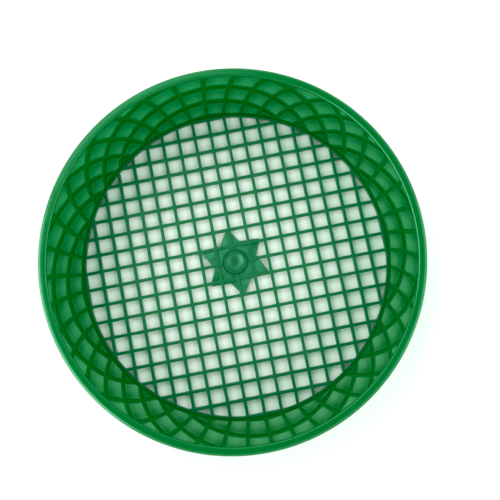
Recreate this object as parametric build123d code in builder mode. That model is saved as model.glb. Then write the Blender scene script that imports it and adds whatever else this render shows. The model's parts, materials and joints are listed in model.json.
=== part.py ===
from build123d import *
import os
from math import cos, radians, sin, tan

# A round garden soil sieve with a tapered wall, a turned-down rim and a square mesh floor.
# The real sieve is one moulding. Each sub-part here is one region of it, and the regions
# meet face to face without overlapping.
#
# Frame: millimetres, +Z up, the origin on the ground at the middle of the foot.
# The mesh bars run along X and Y.

# Driving dimensions
mesh_pitch = 17.0  # centre to centre of neighbouring mesh bars
cells_across = 18  # mesh squares along the diameter of the floor
rim_rise = 77.5  # top of the mesh to the top of the rim
wall_taper = 5.5  # degrees that the wall leans outwards
wall_thickness = 2.4
bar_width = 3.1
bar_depth = 3.6
foot_height = 2.6  # lifts the mesh off the ground

ledge_width = 2.4  # flat ring between the mesh and the wall
foot_width = 2.8
foot_edge = 0.5  # chamfer on both lower edges of the foot

rim_width = 8.0  # inner face of the wall to the outside of the skirt
rim_thickness = 2.2
rim_bend = 3.2  # outer radius of the turn from flange to skirt
rim_inner_edge = 2.0  # rounding where the flange meets the inside of the wall
skirt_depth = 8.0
skirt_edge = 0.8

pad_count = 6
pad_length = 6.2
pad_width = 2.4
pad_height = 0.35
pad_inset = 4.3  # centre of a pad from the outside of the rim
pad_angle = 30.0

# The gate is where the plastic enters the mould, at the middle of the floor.
gate_radius = 12.8
gate_rise = 2.4  # top of the collar above the mesh
gate_bevel = 1.9
collar_width = 3.6
dish_drop = 0.4  # edge of the dish below the top of the collar
dish_depth = 2.6
dish_thickness = 1.8
pip_radius = 1.4
pip_rise = 0.9

star_points = 6
star_tip_radius = 2.12 * mesh_pitch
star_valley_radius = 1.27 * mesh_pitch
star_tip_turn = 3.5  # the tips and the valleys are both turned a little, like a pinwheel
star_valley_turn = 8.0
star_thickness = 1.5
star_tip_rounding = 1.6
star_valley_rounding = 3.0

# Levels and radii that follow from them
mesh_base = foot_height
mesh_top = mesh_base + bar_depth
lap_level = mesh_base + bar_depth / 2
rim_top = mesh_top + rim_rise
wall_top = rim_top - rim_thickness

bar_count = cells_across - 1
mesh_radius = mesh_pitch * cells_across / 2
edge_bar_start = mesh_radius - bar_width / 2
wall_foot_radius = mesh_radius + ledge_width


def wall_inner_radius(height):
    """Give the radius of the wall's inner face at a height above the ground."""
    return wall_foot_radius + (height - mesh_top) * tan(radians(wall_taper))


wall_radial_thickness = wall_thickness / cos(radians(wall_taper))
base_outer_radius = wall_foot_radius + wall_radial_thickness
rim_radius = wall_inner_radius(rim_top) + rim_width
bend_radius = rim_radius - rim_bend  # where the flange turns down
bend_level = rim_top - rim_bend
skirt_bottom = bend_level - skirt_depth
skirt_inner_radius = rim_radius - rim_thickness

os.makedirs("parts", exist_ok=True)


def star_corner(index):
    """Give one corner of the star's outline: even ones are tips and odd ones are valleys."""
    is_tip = index % 2 == 0
    radius = star_tip_radius if is_tip else star_valley_radius
    turn = star_tip_turn if is_tip else star_valley_turn
    angle = radians(90 + turn + index * 180 / star_points)
    return (radius * cos(angle), radius * sin(angle))


# Foot: the wall's lowest edge, on which the sieve stands
with BuildPart() as foot_ring:
    with BuildSketch(Plane.XY):
        Circle(base_outer_radius)
        Circle(base_outer_radius - foot_width, mode=Mode.SUBTRACT)
    extrude(amount=foot_height)
    chamfer(foot_ring.faces().sort_by(Axis.Z)[0].edges(), length=foot_edge)
foot_ring.part.label = "foot_ring"
export_step(foot_ring.part, "parts/foot_ring.step")

# Ledge: the ring that holds the ends of the mesh bars
with BuildPart() as base_ring:
    with BuildSketch(Plane.XY.offset(mesh_base)):
        Circle(base_outer_radius)
        Circle(mesh_radius, mode=Mode.SUBTRACT)
    extrude(amount=bar_depth)
base_ring.part.label = "base_ring"
export_step(base_ring.part, "parts/base_ring.step")

# Wall: a plain cone, wider at the top so that the sieves nest
with BuildPart() as side_wall:
    with BuildSketch(Plane.XZ):
        with BuildLine():
            Polyline(
                (wall_inner_radius(mesh_top), mesh_top),
                (wall_inner_radius(mesh_top) + wall_radial_thickness, mesh_top),
                (wall_inner_radius(wall_top) + wall_radial_thickness, wall_top),
                (wall_inner_radius(wall_top), wall_top),
                close=True,
            )
        make_face()
    revolve(axis=Axis.Z)
side_wall.part.label = "side_wall"
export_step(side_wall.part, "parts/side_wall.step")

# Rim: a flat flange, a rounded turn and a skirt that stiffens it
with BuildPart() as rim_flange:
    with BuildSketch(Plane.XZ):
        with BuildLine():
            Polyline(
                (wall_inner_radius(wall_top), wall_top),
                (bend_radius, wall_top),
                (bend_radius, rim_top),
                (wall_inner_radius(rim_top), rim_top),
                close=True,
            )
        rim_face = make_face()
        fillet(rim_face.vertices().group_by(Axis.Y)[-1].sort_by(Axis.X)[0], rim_inner_edge)
    revolve(axis=Axis.Z)
rim_flange.part.label = "rim_flange"
export_step(rim_flange.part, "parts/rim_flange.step")

with BuildPart() as rim_bend_ring:
    with BuildSketch(Plane.XZ):
        with Locations((bend_radius, bend_level)):
            Circle(rim_bend)
            Circle(rim_bend - rim_thickness, mode=Mode.SUBTRACT)
            Rectangle(rim_bend, rim_bend, align=(Align.MIN, Align.MIN), mode=Mode.INTERSECT)
    revolve(axis=Axis.Z)
rim_bend_ring.part.label = "rim_bend"
export_step(rim_bend_ring.part, "parts/rim_bend.step")

with BuildPart() as rim_skirt:
    with BuildSketch(Plane.XY.offset(skirt_bottom)):
        Circle(rim_radius)
        Circle(skirt_inner_radius, mode=Mode.SUBTRACT)
    extrude(amount=skirt_depth)
    fillet(rim_skirt.faces().sort_by(Axis.Z)[0].edges(), radius=skirt_edge)
rim_skirt.part.label = "rim_skirt"
export_step(rim_skirt.part, "parts/rim_skirt.step")

# Pads: low oblong marks that the mould leaves on top of the flange
with BuildPart() as rim_pads:
    with BuildSketch(Plane.XY.offset(rim_top)):
        with PolarLocations(rim_radius - pad_inset, pad_count, start_angle=pad_angle):
            SlotOverall(pad_length, pad_width, rotation=90)
    extrude(amount=pad_height)
rim_pads.part.label = "rim_pads"
export_step(rim_pads.part, "parts/rim_pads.step")

# Star: a thin plate under the bars, which spreads the plastic from the gate
with BuildPart() as gate_star:
    with BuildSketch(Plane.XY.offset(mesh_base)):
        with BuildLine():
            Polyline(*[star_corner(index) for index in range(2 * star_points)], close=True)
        star_face = make_face()
        corners = star_face.vertices().sort_by_distance((0, 0, mesh_base))
        fillet(corners[:star_points], star_valley_rounding)
        fillet(corners[star_points:], star_tip_rounding)
        Circle(gate_radius, mode=Mode.SUBTRACT)
    extrude(amount=star_thickness)
gate_star.part.label = "gate_star"
export_step(gate_star.part, "parts/gate_star.step")

# Collar, dish and pip: the raised cup at the middle of the star
collar_top = mesh_top + gate_rise
dish_radius = gate_radius - collar_width
with BuildPart() as gate_collar:
    with BuildSketch(Plane.XY.offset(mesh_base)):
        Circle(gate_radius)
        Circle(dish_radius, mode=Mode.SUBTRACT)
    extrude(amount=collar_top - mesh_base)
    chamfer(gate_collar.edges().group_by(Axis.Z)[-1].sort_by(SortBy.RADIUS)[-1], length=gate_bevel)
gate_collar.part.label = "gate_collar"
export_step(gate_collar.part, "parts/gate_collar.step")

dish_edge = collar_top - dish_drop
dish_floor = dish_edge - dish_depth
with BuildPart() as gate_dish:
    with BuildSketch(Plane.XZ):
        with BuildLine():
            Line((0, dish_floor), (pip_radius, dish_floor))
            TangentArc((pip_radius, dish_floor), (dish_radius, dish_edge), tangent=(1, 0))
            Polyline(
                (dish_radius, dish_edge),
                (dish_radius, dish_floor - dish_thickness),
                (0, dish_floor - dish_thickness),
                (0, dish_floor),
            )
        make_face()
    revolve(axis=Axis.Z)
gate_dish.part.label = "gate_dish"
export_step(gate_dish.part, "parts/gate_dish.step")

with BuildPart() as gate_pip:
    with BuildSketch(Plane.XY.offset(dish_floor)):
        Circle(pip_radius)
    extrude(amount=pip_rise)
    fillet(gate_pip.faces().sort_by(Axis.Z)[-1].edges(), radius=pip_rise / 2)
gate_pip.part.label = "gate_pip"
export_step(gate_pip.part, "parts/gate_pip.step")


def floor_outline():
    """Trim the sketch to the space inside the ledge and its edge bars, outside the gate."""
    Circle(mesh_radius, mode=Mode.INTERSECT)
    Rectangle(2 * edge_bar_start, 2 * edge_bar_start, mode=Mode.INTERSECT)
    Circle(gate_radius, mode=Mode.SUBTRACT)


# Mesh: two sets of bars in one plane, halved into each other where they cross
with BuildPart() as bars_lengthwise:
    with BuildSketch(Plane.XY.offset(mesh_base)):
        with GridLocations(mesh_pitch, mesh_pitch, 1, bar_count):
            Rectangle(2 * mesh_radius, bar_width)
        floor_outline()
    extrude(amount=bar_depth)
    with BuildSketch(Plane.XY.offset(lap_level)):
        with GridLocations(mesh_pitch, mesh_pitch, bar_count, 1):
            Rectangle(bar_width, 2 * mesh_radius)
    extrude(amount=mesh_top - lap_level, mode=Mode.SUBTRACT)
    add(gate_star.part, mode=Mode.SUBTRACT)
bars_lengthwise.part.label = "bars_lengthwise"
export_step(bars_lengthwise.part, "parts/bars_lengthwise.step")

with BuildPart() as bars_crosswise:
    with BuildSketch(Plane.XY.offset(mesh_base)):
        with GridLocations(mesh_pitch, mesh_pitch, bar_count, 1):
            Rectangle(bar_width, 2 * mesh_radius)
        floor_outline()
    extrude(amount=bar_depth)
    with BuildSketch(Plane.XY.offset(mesh_base)):
        with GridLocations(mesh_pitch, mesh_pitch, 1, bar_count):
            Rectangle(2 * mesh_radius, bar_width)
    extrude(amount=lap_level - mesh_base, mode=Mode.SUBTRACT)
    add(gate_star.part, mode=Mode.SUBTRACT)
bars_crosswise.part.label = "bars_crosswise"
export_step(bars_crosswise.part, "parts/bars_crosswise.step")

# Edge bars: the last bar each way touches the ledge, so only a sliver of it shows
with BuildPart() as edge_bars:
    with BuildSketch(Plane.XY.offset(mesh_base)):
        Circle(mesh_radius)
        Rectangle(2 * edge_bar_start, 2 * edge_bar_start, mode=Mode.SUBTRACT)
    extrude(amount=bar_depth)
edge_bars.part.label = "edge_bars"
export_step(edge_bars.part, "parts/edge_bars.step")

print(f"rim {2 * rim_radius:.1f} mm across, {rim_top + pad_height:.1f} mm high overall")
print(f"mesh opening {mesh_pitch - bar_width:.1f} mm square")
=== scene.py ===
import json
from math import atan2, cos, pi, radians, sin, sqrt, tan

import bmesh
import bpy
from mathutils import Matrix, Vector
from mathutils.geometry import tessellate_polygon

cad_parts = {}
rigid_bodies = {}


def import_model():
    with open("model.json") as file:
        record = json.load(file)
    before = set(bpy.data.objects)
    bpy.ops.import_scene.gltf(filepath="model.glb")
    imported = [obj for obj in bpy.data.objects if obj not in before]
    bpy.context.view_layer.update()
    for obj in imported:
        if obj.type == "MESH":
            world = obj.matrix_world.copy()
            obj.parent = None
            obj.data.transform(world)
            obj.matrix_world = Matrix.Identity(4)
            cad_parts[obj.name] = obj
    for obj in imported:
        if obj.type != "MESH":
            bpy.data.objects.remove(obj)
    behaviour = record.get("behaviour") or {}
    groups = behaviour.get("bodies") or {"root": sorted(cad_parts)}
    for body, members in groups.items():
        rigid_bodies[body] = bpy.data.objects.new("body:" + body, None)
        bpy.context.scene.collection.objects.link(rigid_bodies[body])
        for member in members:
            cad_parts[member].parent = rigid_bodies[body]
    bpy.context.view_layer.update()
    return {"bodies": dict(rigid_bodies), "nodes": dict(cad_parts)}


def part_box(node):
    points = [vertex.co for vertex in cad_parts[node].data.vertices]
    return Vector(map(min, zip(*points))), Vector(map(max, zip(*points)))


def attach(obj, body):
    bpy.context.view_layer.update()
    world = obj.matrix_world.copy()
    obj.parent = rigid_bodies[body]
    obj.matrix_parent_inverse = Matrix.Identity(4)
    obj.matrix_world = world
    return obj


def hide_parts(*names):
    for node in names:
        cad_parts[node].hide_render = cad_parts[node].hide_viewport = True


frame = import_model()
scene = bpy.context.scene

MM = 0.001
merge_distance = 1e-6  # points closer together than this are one point
body = next(iter(frame["bodies"]))


# ---------------------------------------------------------------- sizes, read from the frame
def base_of(node):
    """Give the lowest level of a CAD node."""
    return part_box(node)[0][2]


def top_of(node):
    """Give the highest level of a CAD node."""
    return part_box(node)[1][2]


def reach_x(node):
    """Give how far a CAD node reaches along X."""
    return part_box(node)[1][0]


def reach_y(node):
    """Give how far a CAD node reaches along Y."""
    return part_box(node)[1][1]


cells_across = 18
last_bar = cells_across // 2 - 1  # bars on each side of the middle one, apart from the edge bars
# The lengthwise bars end half a bar before the ninth pitch and spread half a bar past the eighth.
pitch = (reach_x("bars_lengthwise") + reach_y("bars_lengthwise")) / (2 * last_bar + 1)
bar_width = 2 * (reach_y("bars_lengthwise") - last_bar * pitch)

mesh_base = base_of("base_ring")
mesh_top = top_of("base_ring")
mesh_radius = pitch * cells_across / 2
seam_radius = mesh_radius + 1.0 * MM  # where the mesh plate meets the base ring
base_radius = reach_x("base_ring")
rim_top = top_of("rim_flange")
skirt_low, skirt_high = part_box("rim_skirt")
rim_radius = min(-skirt_low[0], -skirt_low[1], skirt_high[0], skirt_high[1])
rim_thickness = rim_top - base_of("rim_flange")
bend_radius = reach_x("rim_flange")
rim_bend = rim_radius - bend_radius
skirt_bottom = base_of("rim_skirt")
wall_top_radius = reach_x("side_wall")
wall_top = top_of("side_wall")
wall_thickness = 2.41 * MM  # along a radius
skin = 1.2 * MM  # how far the wall's outer skin reaches in from its outer face
gate_radius = reach_x("gate_collar")
gate_top = top_of("gate_collar")
tuck = 1.0 * MM  # how far the mesh and the star reach in under the collar


def wall_outer_radius(height):
    """Give the radius of the wall's outer face at a level."""
    rise = (height - mesh_top) / (wall_top - mesh_top)
    return base_radius + rise * (wall_top_radius - base_radius)


# ---------------------------------------------------------------- mesh helpers
def rounded(corners, steps=5):
    """Round the corners of a closed outline, given as (x, y, radius) in order."""
    outline = []
    for index, (x, y, radius) in enumerate(corners):
        corner = Vector((x, y))
        if radius == 0:
            outline.append(corner)
            continue
        before = (Vector(corners[index - 1][:2]) - corner).normalized()
        after = (Vector(corners[(index + 1) % len(corners)][:2]) - corner).normalized()
        half_angle = before.angle(after) / 2
        centre = corner + (before + after).normalized() * radius / sin(half_angle)
        first = corner + before * radius / tan(half_angle) - centre
        last = corner + after * radius / tan(half_angle) - centre
        sweep = first.angle_signed(last)
        for step in range(steps + 1):
            turn = -sweep * step / steps
            spoke = Vector(
                (
                    first.x * cos(turn) - first.y * sin(turn),
                    first.x * sin(turn) + first.y * cos(turn),
                )
            )
            outline.append(centre + spoke)
    return outline


def finish_piece(piece, material, nodes, smooth_angle=40):
    """Shade a piece, give it its material, and tie it to the frame."""
    piece.data.shade_smooth()
    piece.data.set_sharp_from_angle(angle=radians(smooth_angle))
    piece.data.materials.append(material)
    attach(piece, body)
    if nodes:
        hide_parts(*nodes)


def as_object(name, mesh):
    """Turn a mesh in the making into an object, with its faces pointing outwards."""
    bmesh.ops.recalc_face_normals(mesh, faces=mesh.faces)
    data = bpy.data.meshes.new(name)
    mesh.to_mesh(data)
    mesh.free()
    piece = bpy.data.objects.new(name, data)
    scene.collection.objects.link(piece)
    return piece


def revolve(name, outline, segments=300):
    """Turn a closed outline of (radius, height) points about Z."""
    mesh = bmesh.new()
    rings = []
    for segment in range(segments):
        angle = 2 * pi * segment / segments
        rings.append([mesh.verts.new((r * cos(angle), r * sin(angle), z)) for r, z in outline])
    for segment, ring in enumerate(rings):
        following = rings[(segment + 1) % segments]
        for index in range(len(outline)):
            after = (index + 1) % len(outline)
            mesh.faces.new((ring[index], following[index], following[after], ring[after]))
    bmesh.ops.remove_doubles(mesh, verts=mesh.verts, dist=merge_distance)
    bmesh.ops.dissolve_degenerate(mesh, edges=mesh.edges, dist=merge_distance)
    loose = [edge for edge in mesh.edges if edge.is_wire]  # left along the axis of a solid shape
    bmesh.ops.delete(mesh, geom=loose, context="EDGES")
    return as_object(name, mesh)


def offset_outline(outline, distance):
    """Move a closed outline, given anticlockwise, outwards by a distance."""
    least_slant = 0.5  # keeps a sharp corner from flying far out
    moved = []
    for index, point in enumerate(outline):
        before = (point - outline[index - 1]).normalized()
        after = (outline[(index + 1) % len(outline)] - point).normalized()
        normal = Vector((before.y + after.y, -before.x - after.x)).normalized()
        slant = max(normal.dot(Vector((before.y, -before.x))), least_slant)
        moved.append(point + normal * distance / slant)
    return moved


def add_tile(mesh, boundary, opening, low, high, edge_radius, steps=3):
    """Add one square of a plate: its top and bottom, and the rounded walls of its opening."""
    rings = []
    if opening:
        for end, level in ((1, high), (-1, low)):
            for step in range(steps + 1):
                angle = pi / 2 * (step / steps if end == 1 else 1 - step / steps)
                shrink = edge_radius * (1 - sin(angle))
                drop = edge_radius * (1 - cos(angle))
                rings.append((offset_outline(opening, shrink), level - end * drop))
    levels = [[mesh.verts.new((p.x, p.y, z)) for p in outline] for outline, z in rings]
    for upper, lower in zip(levels, levels[1:]):
        for index in range(len(upper)):
            mesh.faces.new((upper[index - 1], upper[index], lower[index], lower[index - 1]))
    for level, ring in ((high, 0), (low, -1)):
        edge = [mesh.verts.new((p.x, p.y, level)) for p in boundary]
        loops = [edge, levels[ring]] if opening else [edge]
        corners = [vertex for loop in loops for vertex in loop]
        for triangle in tessellate_polygon([[v.co for v in loop] for loop in loops]):
            mesh.faces.new([corners[index] for index in triangle])


def close_plate(name, mesh, low, high):
    """Join a plate's tiles, wall its outer edges and make it an object."""
    bmesh.ops.remove_doubles(mesh, verts=mesh.verts, dist=merge_distance)
    level = high - merge_distance
    edge = [e for e in mesh.edges if e.is_boundary and min(v.co.z for v in e.verts) > level]
    for first, last in [e.verts for e in edge]:
        below = [mesh.verts.new((v.co.x, v.co.y, low)) for v in (last, first)]
        mesh.faces.new((last, *below, first))
    bmesh.ops.remove_doubles(mesh, verts=mesh.verts, dist=merge_distance)
    return as_object(name, mesh)


# ---------------------------------------------------------------- materials
# Noise scales, in waves per metre, so a larger scale makes finer patches
cloud_scale = 22
smear_scale = 60
wave_scale = 45
grain_scale = 900
scuff_scale = 420
scuff_zone_scale = 28
usual_noise = (0.3, 0.7)  # most of a noise's values lie between these
scuff_noise = (0.52, 0.68)  # where scuffs start and where they are full
scuff_zone_noise = (0.5, 0.62)  # the same for the places that have scuffs
scuff_colour_share = 0.6
scuff_added_roughness = 0.25
roughness_shares = (0.8, 1.3)  # least and most roughness, as shares of the look's own
scuffed_green = (0.09, 0.24, 0.13)
green_gloss = (0.04, 1, 0.42)
pale_gloss = (0.3, 1, 0.6)


def node(tree, kind, **values):
    """Add a shader node and set its named properties or inputs."""
    made = tree.nodes.new(kind)
    for name, value in values.items():
        if hasattr(made, name):
            setattr(made, name, value)
        else:
            made.inputs[name].default_value = value
    return made


def link(tree, *pairs):
    """Join outputs to inputs, given as output, input, output, input and so on."""
    for output, target in zip(pairs[::2], pairs[1::2]):
        tree.links.new(output, target)


def noise(tree, place, scale, detail):
    """Give the strength of a cloudy noise."""
    texture = node(tree, "ShaderNodeTexNoise", Scale=scale, Detail=detail)
    link(tree, place, texture.inputs["Vector"])
    return texture.outputs["Fac"]


def spread(tree, value, start, end, low, high):
    """Map a value from one range to another, clamped at both ends."""
    ramp = node(tree, "ShaderNodeMapRange")
    for name, limit in zip(("From Min", "From Max", "To Min", "To Max"), (start, end, low, high)):
        ramp.inputs[name].default_value = limit
    link(tree, value, ramp.inputs["Value"])
    return ramp.outputs["Result"]


def combine(tree, operation, first, second):
    """Work out a sum or a product of two values; the second may be a plain number."""
    maths = node(tree, "ShaderNodeMath", operation=operation)
    link(tree, first, maths.inputs[0])
    if isinstance(second, (int, float)):
        maths.inputs[1].default_value = second
    else:
        link(tree, second, maths.inputs[1])
    return maths.outputs["Value"]


def bump(tree, height, distance, below=None):
    """Add a bump on top of the one below it."""
    made = node(tree, "ShaderNodeBump", Strength=1, Distance=distance)
    link(tree, height, made.inputs["Height"])
    if below:
        link(tree, below, made.inputs["Normal"])
    return made.outputs["Normal"]


def flow_streaks(tree, place, flat, radius):
    """Give a noise drawn out into streaks that run away from the gate and fade out inside it."""
    change = 30  # waves per metre by which a streak changes along its length
    streak_scale = 2.2
    outwards = node(tree, "ShaderNodeVectorMath", operation="DIVIDE")
    bent = node(tree, "ShaderNodeVectorMath", operation="MULTIPLY_ADD")
    bent.inputs[1].default_value = (change, change, change)
    link(tree, flat, outwards.inputs[0], place, bent.inputs[0])
    link(tree, combine(tree, "ADD", radius, gate_radius), outwards.inputs[1])
    link(tree, outwards.outputs["Vector"], bent.inputs[2])
    streaks = noise(tree, bent.outputs["Vector"], streak_scale, detail=3)
    return spread(tree, streaks, *usual_noise, 0, 1)


def turning_rings(tree, radius, split):
    """Give a noise drawn out into rings, each a little broken along its length."""
    # Waves per metre outwards, upwards and along X, which breaks the rings
    outward_scale, upward_scale, broken_scale = 400, 260, 14
    around = node(tree, "ShaderNodeCombineXYZ")
    link(tree, combine(tree, "MULTIPLY", radius, outward_scale), around.inputs["X"])
    link(tree, combine(tree, "MULTIPLY", split.outputs["Z"], upward_scale), around.inputs["Y"])
    link(tree, combine(tree, "MULTIPLY", split.outputs["X"], broken_scale), around.inputs["Z"])
    return noise(tree, around.outputs["Vector"], 1, detail=3)


def plastic(name, look):
    """Make moulded plastic, with rings, flow streaks and a worn edge where the look has them.

    A look holds two colours, a roughness, an index of refraction, the tint of the gloss and the
    heights of the bumps. Each worn entry holds a measure, where wear starts and where it is full.
    """
    material = bpy.data.materials.new(name)
    material.use_nodes = True
    tree = material.node_tree
    shader = tree.nodes["Principled BSDF"]
    place = node(tree, "ShaderNodeTexCoord").outputs["Object"]
    split = node(tree, "ShaderNodeSeparateXYZ")
    flatten = node(tree, "ShaderNodeVectorMath", operation="MULTIPLY")
    flatten.inputs[1].default_value = (1, 1, 0)
    across = node(tree, "ShaderNodeVectorMath", operation="LENGTH")
    flat = flatten.outputs["Vector"]
    link(tree, place, split.inputs["Vector"], place, flatten.inputs[0], flat, across.inputs[0])
    radius = across.outputs["Value"]

    if "flow" in look:
        drift = flow_streaks(tree, place, flat, radius)
    else:
        drift = noise(tree, place, cloud_scale, detail=3)
    blend = node(tree, "ShaderNodeMix", data_type="RGBA")
    blend.inputs["A"].default_value = (*look["deep"], 1)
    blend.inputs["B"].default_value = (*look["colour"], 1)
    link(tree, drift, blend.inputs["Factor"])
    colour = blend.outputs["Result"]

    smear = noise(tree, place, smear_scale, detail=4)
    least, most = (look["roughness"] * share for share in roughness_shares)
    roughness = spread(tree, smear, *usual_noise, least, most)

    normal = bump(tree, noise(tree, place, wave_scale, detail=1), look["wave"])
    normal = bump(tree, noise(tree, place, grain_scale, detail=2), look["grain"], normal)
    if "rings" in look:
        normal = bump(tree, turning_rings(tree, radius, split), look["rings"], normal)

    if "worn" in look:
        # Sparse scuffs, paler and duller, in a few places along an edge
        scuffs = spread(tree, noise(tree, place, scuff_scale, detail=5), *scuff_noise, 0, 1)
        zones = noise(tree, place, scuff_zone_scale, detail=2)
        zones = spread(tree, zones, *scuff_zone_noise, 0, 1)
        scuffs = combine(tree, "MULTIPLY", scuffs, zones)
        for measure, start, end in look["worn"]:
            reach = radius if measure == "radius" else split.outputs["Z"]
            edge = spread(tree, reach, start, end, 0, 1)
            scuffs = combine(tree, "MULTIPLY", scuffs, edge)
        worn = node(tree, "ShaderNodeMix", data_type="RGBA")
        worn.inputs["B"].default_value = (*scuffed_green, 1)
        link(tree, colour, worn.inputs["A"])
        link(tree, combine(tree, "MULTIPLY", scuffs, scuff_colour_share), worn.inputs["Factor"])
        colour = worn.outputs["Result"]
        duller = combine(tree, "MULTIPLY", scuffs, scuff_added_roughness)
        roughness = combine(tree, "ADD", duller, roughness)

    link(tree, colour, shader.inputs["Base Color"])
    link(tree, roughness, shader.inputs["Roughness"])
    link(tree, normal, shader.inputs["Normal"])
    shader.inputs["IOR"].default_value = look["ior"]
    shader.inputs["Specular Tint"].default_value = (*look["tint"], 1)
    return material


wall_plastic = plastic(
    "wall_plastic",
    {
        "colour": (0.001, 0.114, 0.007),
        "deep": (0.0005, 0.086, 0.003),
        "roughness": 0.035,
        "ior": 2.7,
        "tint": green_gloss,
        "wave": 0.022 * MM,
        "grain": 0.0005 * MM,
        "rings": 0.016 * MM,
    },
)
rim_plastic = plastic(
    "rim_plastic",
    {
        "colour": (0.003, 0.104, 0.017),
        "deep": (0.0015, 0.081, 0.01),
        "roughness": 0.17,
        "ior": 1.52,
        "tint": pale_gloss,
        "wave": 0.04 * MM,
        "grain": 0.002 * MM,
        "rings": 0.08 * MM,
        "worn": (
            ("radius", rim_radius - 1.6 * MM, rim_radius - 0.6 * MM),
            ("height", rim_top - 3.4 * MM, rim_top - 1.6 * MM),
        ),
    },
)
# The ledge and the inside of the foot take a darker copy of the wall's plastic: this is painted
# shade for the dark band at the wall's foot.
base_plastic = plastic(
    "base_plastic",
    {
        "colour": (0.0005, 0.075, 0.008),
        "deep": (0.0003, 0.05, 0.004),
        "roughness": 0.3,
        "ior": 1.4,
        "tint": pale_gloss,
        "wave": 0.03 * MM,
        "grain": 0.004 * MM,
        "rings": 0.02 * MM,
    },
)
shell_plastic = plastic(
    "shell_plastic",
    {
        "colour": (0.003, 0.112, 0.018),
        "deep": (0.0015, 0.088, 0.011),
        "roughness": 0.2,
        "ior": 1.5,
        "tint": pale_gloss,
        "wave": 0.05 * MM,
        "grain": 0.002 * MM,
        "rings": 0.03 * MM,
        "worn": (("height", 1.4 * MM, 0.3 * MM),),
    },
)
mesh_plastic = plastic(
    "mesh_plastic",
    {
        "colour": (0.013, 0.11, 0.036),
        "deep": (0.008, 0.086, 0.025),
        "roughness": 0.36,
        "ior": 1.42,
        "tint": pale_gloss,
        "wave": 0.03 * MM,
        "grain": 0.004 * MM,
    },
)
gate_plastic = plastic(
    "gate_plastic",
    {
        "colour": (0.028, 0.16, 0.07),
        "deep": (0.006, 0.096, 0.03),
        "roughness": 0.3,
        "ior": 1.5,
        "tint": pale_gloss,
        "wave": 0.08 * MM,
        "grain": 0.008 * MM,
        "flow": True,
    },
)
# The cup takes a darker copy of the gate's plastic: this is painted shade over the whole cup, for
# the dark crescents in and round its dish.
shaded_cup_plastic = plastic(
    "shaded_cup_plastic",
    {
        "colour": (0.015, 0.108, 0.042),
        "deep": (0.002, 0.062, 0.017),
        "roughness": 0.34,
        "ior": 1.5,
        "tint": pale_gloss,
        "wave": 0.06 * MM,
        "grain": 0.008 * MM,
    },
)


# ---------------------------------------------------------------- wall, rim and base
def build_rim():
    """Flange, turn and skirt as one thin hooked section."""
    inside = wall_outer_radius(wall_top) - wall_thickness
    inner_edge = 2.0 * MM
    skirt_inside = rim_radius - rim_thickness
    skirt_edge = 0.8 * MM
    outline = rounded(
        [
            (inside, wall_top, 0),
            (inside, rim_top, inner_edge),
            (rim_radius, rim_top, rim_bend),
            (rim_radius, skirt_bottom, skirt_edge),
            (skirt_inside, skirt_bottom, skirt_edge),
            (skirt_inside, wall_top, rim_bend - rim_thickness),
        ],
        steps=8,
    )
    nodes = ["rim_flange", "rim_bend", "rim_skirt"]
    finish_piece(revolve("rim", outline), rim_plastic, nodes)


def build_wall():
    """The polished inner side of the cone, between the ledge and the rim."""
    outline = [
        (base_radius - wall_thickness, mesh_top),
        (base_radius - skin, mesh_top),
        (wall_outer_radius(wall_top) - skin, wall_top),
        (wall_outer_radius(wall_top) - wall_thickness, wall_top),
    ]
    finish_piece(revolve("wall", outline), wall_plastic, ["side_wall"])


foot_edge = 0.5 * MM


def build_shell():
    """The outer side of the cone, in one with the outside of the ledge and the foot."""
    outline = rounded(
        [
            (base_radius - skin, 0, 0),
            (base_radius, 0, foot_edge),
            (base_radius, mesh_top, 0),
            (wall_outer_radius(wall_top), wall_top, 0),
            (wall_outer_radius(wall_top) - skin, wall_top, 0),
            (base_radius - skin, mesh_top, 0),
        ]
    )
    finish_piece(revolve("shell", outline), shell_plastic, [])


def build_base():
    """The ledge round the mesh and the inside of the foot under it."""
    foot_inside = base_radius - 2.8 * MM
    corner = 0.3 * MM  # in the angle between the ledge and the foot
    outline = rounded(
        [
            (seam_radius, mesh_base, 0),
            (foot_inside, mesh_base, corner),
            (foot_inside, 0, foot_edge),
            (base_radius - skin, 0, 0),
            (base_radius - skin, mesh_top, 0),
            (seam_radius, mesh_top, 0),
        ]
    )
    nodes = ["base_ring", "foot_ring"]
    finish_piece(revolve("base", outline), base_plastic, nodes)


# ---------------------------------------------------------------- mesh floor
def clip_to_circle(outline, radius, sides=360):
    """Cut a convex outline down to the part inside a circle about the origin."""
    for side in range(sides):
        normal = Vector((cos(2 * pi * side / sides), sin(2 * pi * side / sides)))
        heights = [point.dot(normal) - radius for point in outline]
        if max(heights) <= 0:
            continue
        kept = []
        for index, point in enumerate(outline):
            before = outline[index - 1]
            if (heights[index] <= 0) != (heights[index - 1] <= 0):
                share = heights[index - 1] / (heights[index - 1] - heights[index])
                kept.append(before.lerp(point, share))
            if heights[index] <= 0:
                kept.append(point)
        outline = kept
        if len(outline) < 3:
            return []
    return outline


def area_of(outline):
    """Give the area inside a flat closed outline."""
    pairs = zip(outline, outline[1:] + outline[:1])
    return abs(sum(a.x * b.y - a.y * b.x for a, b in pairs)) / 2


def rectangle(left, low, right, high, radius=0):
    """Give a rectangle as a closed outline, with rounded corners if a radius is given."""
    corners = [(left, low), (right, low), (right, high), (left, high)]
    return rounded([(x, y, radius) for x, y in corners], steps=3)


def gate_arc(radius, start, end, steps=8):
    """Give the points of an arc about the gate, from one angle to another."""
    angles = [start + (end - start) * step / steps for step in range(steps + 1)]
    return [Vector((radius * cos(angle), radius * sin(angle))) for angle in angles]


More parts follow.
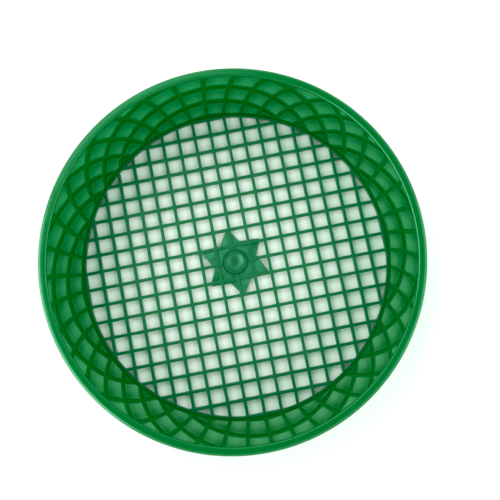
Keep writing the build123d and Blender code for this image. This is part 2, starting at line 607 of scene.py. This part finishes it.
def gate_tile(column, row):
    """Give the boundary and the opening of one of the four squares round the gate."""
    near = bar_width / 2
    far = pitch - near
    start = atan2(near, sqrt(gate_radius**2 - near**2))
    boundary = [Vector((pitch, 0)), Vector((pitch, pitch)), Vector((0, pitch))]
    boundary += gate_arc(gate_radius - tuck, pi / 2, 0)
    opening = [Vector((far, near)), Vector((far, far)), Vector((near, far))]
    opening += gate_arc(gate_radius, pi / 2 - start, start)
    turn = {(0, 0): 0, (-1, 0): 1, (-1, -1): 2, (0, -1): 3}[column, row] * pi / 2
    matrix = Matrix.Rotation(turn, 2)
    return [matrix @ p for p in boundary], [matrix @ p for p in opening]


def build_mesh_floor():
    """The whole grid as one plate with rounded edges, as it is moulded."""
    mesh = bmesh.new()
    corner_radius = 0.8 * MM
    edge_radius = 0.6 * MM
    smallest = 4 * MM * MM  # a part-square with less area than this is filled in
    cells = range(-last_bar - 2, last_bar + 2)  # one more on each side than the floor has across
    for column in cells:
        for row in cells:
            left, low = column * pitch, row * pitch
            boundary = clip_to_circle(rectangle(left, low, left + pitch, low + pitch), seam_radius)
            if not boundary:
                continue
            near = bar_width / 2
            far = pitch - near
            cell = rectangle(left + near, low + near, left + far, low + far, corner_radius)
            opening = clip_to_circle(cell, mesh_radius)
            if not opening or area_of(opening) < smallest:
                opening = []
            if column in (-1, 0) and row in (-1, 0):
                boundary, opening = gate_tile(column, row)
            add_tile(mesh, boundary, opening, mesh_base, mesh_top, edge_radius)
    piece = close_plate("mesh_floor", mesh, mesh_base, mesh_top)
    nodes = ["bars_lengthwise", "bars_crosswise", "edge_bars"]
    finish_piece(piece, mesh_plastic, nodes)


# ---------------------------------------------------------------- gate
def build_gate_cup():
    """Collar, dish and pip as one turned shape."""
    dish_radius = reach_x("gate_dish")
    dish_floor = base_of("gate_pip")
    pip_radius = reach_x("gate_pip")
    pip_top = top_of("gate_pip")
    dish_edge = top_of("gate_dish")
    under = base_of("gate_dish")
    collar_under = mesh_base + 0.05 * MM
    slope = 1.9 * MM  # the collar's outer edge slopes down this far and this wide
    slope_edge = 0.7 * MM
    lip = 0.3 * MM  # how far the collar's inner edge slopes in
    edge = 0.4 * MM
    # The bowl curves from level at the pip to steepest at its edge
    bowl_steps = 12
    bowl = []
    for step in range(1, bowl_steps):
        share = 1 - step / bowl_steps
        radius = pip_radius + (dish_radius - pip_radius) * share
        bowl.append((radius, dish_floor + (dish_edge - dish_floor) * share**2, 0))
    outline = rounded(
        [
            (0, under, 0),
            (dish_radius, under, edge),
            (dish_radius, collar_under, edge),
            (gate_radius, collar_under, edge),
            (gate_radius, gate_top - slope, slope_edge),
            (gate_radius - slope, gate_top, slope_edge),
            (dish_radius + lip, gate_top, edge),
            (dish_radius, dish_edge, 0),
            *bowl,
            (pip_radius, dish_floor, 0),
            (pip_radius, pip_top, edge),
            (0, pip_top, 0),
        ],
        steps=4,
    )
    nodes = ["gate_collar", "gate_dish", "gate_pip"]
    piece = revolve("gate_cup", outline, segments=96)
    finish_piece(piece, shaded_cup_plastic, nodes)


def build_star():
    """A thin six-pointed plate, thickest at the cup and thinning towards its points."""
    points = 6
    # Distance from the middle, turn from the Y axis in degrees and rounding; the turns differ,
    # because each point leans a little to one side
    tip_radius = 2.1 * pitch
    tip = (tip_radius, 3.5, 2.0 * MM)
    valley = (1.3 * pitch, 8, 3.0 * MM)
    corners = []
    for index in range(2 * points):
        radius, turn, rounding = tip if index % 2 == 0 else valley
        angle = radians(90 + turn + index * 180 / points)
        corners.append((radius * cos(angle), radius * sin(angle), rounding))
    outer = rounded(corners, steps=6)
    inner_radius = gate_radius - tuck
    inner = [point.normalized() * inner_radius for point in outer]
    under = mesh_base + 0.15 * MM
    middle_top = mesh_base + 2.6 * MM
    tip_top = mesh_base + 1.1 * MM
    bevel = 0.35 * MM

    def top_at(point):
        """Give the level of the plate's sloping top above a point."""
        share = (point.length - inner_radius) / (tip_radius - inner_radius)
        return middle_top + (tip_top - middle_top) * share

    loops = [
        [(point, under) for point in outer],
        [(point, top_at(point) - bevel) for point in outer],
        [(point, top_at(point)) for point in offset_outline(outer, -bevel)],
        [(point, middle_top) for point in inner],
        [(point, under) for point in inner],
    ]
    mesh = bmesh.new()
    rings = [[mesh.verts.new((point.x, point.y, z)) for point, z in loop] for loop in loops]
    for ring, following in zip(rings, rings[1:] + rings[:1]):
        for index in range(len(ring)):
            mesh.faces.new((ring[index - 1], ring[index], following[index], following[index - 1]))
    piece = as_object("star", mesh)
    finish_piece(piece, gate_plastic, ["gate_star"], smooth_angle=30)


def finish_pads():
    """Soften the edges of the six marks on the rim, which stay as the CAD has them."""
    pads = frame["nodes"]["rim_pads"]
    pads.data.materials.clear()
    pads.data.materials.append(rim_plastic)
    joined = pads.modifiers.new("joined", "WELD")
    joined.merge_threshold = 0.01 * MM
    soft_edge = pads.modifiers.new("soft_edge", "BEVEL")
    soft_edge.width = 0.12 * MM
    soft_edge.segments = 2
    soft_edge.limit_method = "ANGLE"
    soft_edge.angle_limit = radians(40)


build_rim()
build_wall()
build_shell()
build_base()
build_mesh_floor()
build_gate_cup()
build_star()
finish_pads()


# ---------------------------------------------------------------- floor, light and camera
def build_stage():
    """A pale floor that fades into a white room."""
    bpy.ops.mesh.primitive_plane_add(size=12)
    floor = bpy.context.object
    floor.name = "floor"
    material = bpy.data.materials.new("floor_paper")
    material.use_nodes = True
    shader = material.node_tree.nodes["Principled BSDF"]
    # The floor's pale green is painted light: it stands in for the green light that the plastic
    # throws down into the holes of the mesh.
    shader.inputs["Base Color"].default_value = (0.71, 0.84, 0.74, 1)
    shader.inputs["Roughness"].default_value = 0.9
    shader.inputs["Specular IOR Level"].default_value = 0.1
    floor.data.materials.append(material)


def soft_light(name, heading, lean, width, power, gleam_only=False):
    """A square softbox aimed at the sieve, which can be kept to reflections only.

    The heading, from the X axis, and the lean, from overhead, are in degrees.
    """
    distance = 1.15
    data = bpy.data.lights.new(name, "AREA")
    data.shape = "SQUARE"
    data.size = width
    data.energy = power
    light = bpy.data.objects.new(name, data)
    turn = Matrix.Rotation(radians(heading + 90), 3, "Z") @ Matrix.Rotation(radians(lean), 3, "X")
    light.location = turn @ Vector((0, 0, distance))
    light.rotation_euler = turn.to_euler()
    light.visible_diffuse = not gleam_only
    scene.collection.objects.link(light)


def build_light():
    """A light tent with a dark opening overhead, where the camera is, and three softboxes."""
    opening_heading = radians(155)
    opening_stretch = 1.6
    any_height = 10000  # stretches the opening along Z until height no longer counts
    opening_edge = (0.34, 0.52)  # where the tent starts to brighten and where it is bright
    opening_dimness = 0.13
    horizon_edge = (0, 0.6)  # the same, from the horizon upwards
    horizon_dimness = 0.42
    tent_strength = 2.75
    world = bpy.data.worlds.new("light_tent")
    world.use_nodes = True
    tree = world.node_tree
    direction = node(tree, "ShaderNodeTexCoord").outputs["Generated"]
    # The opening is longer towards the top and the bottom of the picture than to its sides
    opening = node(tree, "ShaderNodeMapping", vector_type="TEXTURE")
    opening.inputs["Rotation"].default_value = (0, 0, opening_heading)
    opening.inputs["Scale"].default_value = (1, opening_stretch, any_height)
    away = node(tree, "ShaderNodeVectorMath", operation="LENGTH")
    split = node(tree, "ShaderNodeSeparateXYZ")
    link(tree, direction, opening.inputs["Vector"], opening.outputs["Vector"], away.inputs[0])
    link(tree, direction, split.inputs["Vector"])
    overhead = spread(tree, away.outputs["Value"], *opening_edge, opening_dimness, 1)
    horizon = spread(tree, split.outputs["Z"], *horizon_edge, horizon_dimness, 1)
    background = tree.nodes["Background"]
    link(tree, combine(tree, "MULTIPLY", overhead, horizon), background.inputs["Color"])
    background.inputs["Strength"].default_value = tent_strength
    scene.world = world
    soft_light("key", heading=112, lean=32, width=0.6, power=2.2)
    soft_light("left_gleam", heading=188, lean=65, width=1.4, power=38, gleam_only=True)
    soft_light("right_gleam", heading=-15, lean=65, width=1.0, power=7, gleam_only=True)


def build_camera():
    """The camera looks almost straight down, a little past the middle of the sieve."""
    distance = 31.75 * pitch
    tilt = radians(5.8)  # from the vertical
    heading = radians(-71.1)  # direction in which the camera stands off the axis
    up_heading = radians(78.9)  # direction that points up in the picture
    aim = Vector((1.0 * pitch, 0.54 * pitch, mesh_top))
    place = Vector((sin(tilt) * cos(heading), sin(tilt) * sin(heading), cos(tilt))) * distance
    place.z += mesh_top
    back = (place - aim).normalized()
    right = Vector((cos(up_heading), sin(up_heading), 0)).cross(back).normalized()
    data = bpy.data.cameras.new("camera")
    data.sensor_width = 36
    data.lens = 38.2
    camera = bpy.data.objects.new("camera", data)
    camera.location = place
    camera.rotation_euler = Matrix((right, back.cross(right), back)).transposed().to_euler()
    scene.collection.objects.link(camera)
    scene.camera = camera


build_stage()
build_light()
build_camera()
scene.view_settings.view_transform = "Standard"
# The photo's darkest greens hold no red and little blue, so a little of both is cut off
scene.view_settings.use_curve_mapping = True
scene.view_settings.curve_mapping.black_level = (0.016, 0, 0.007)
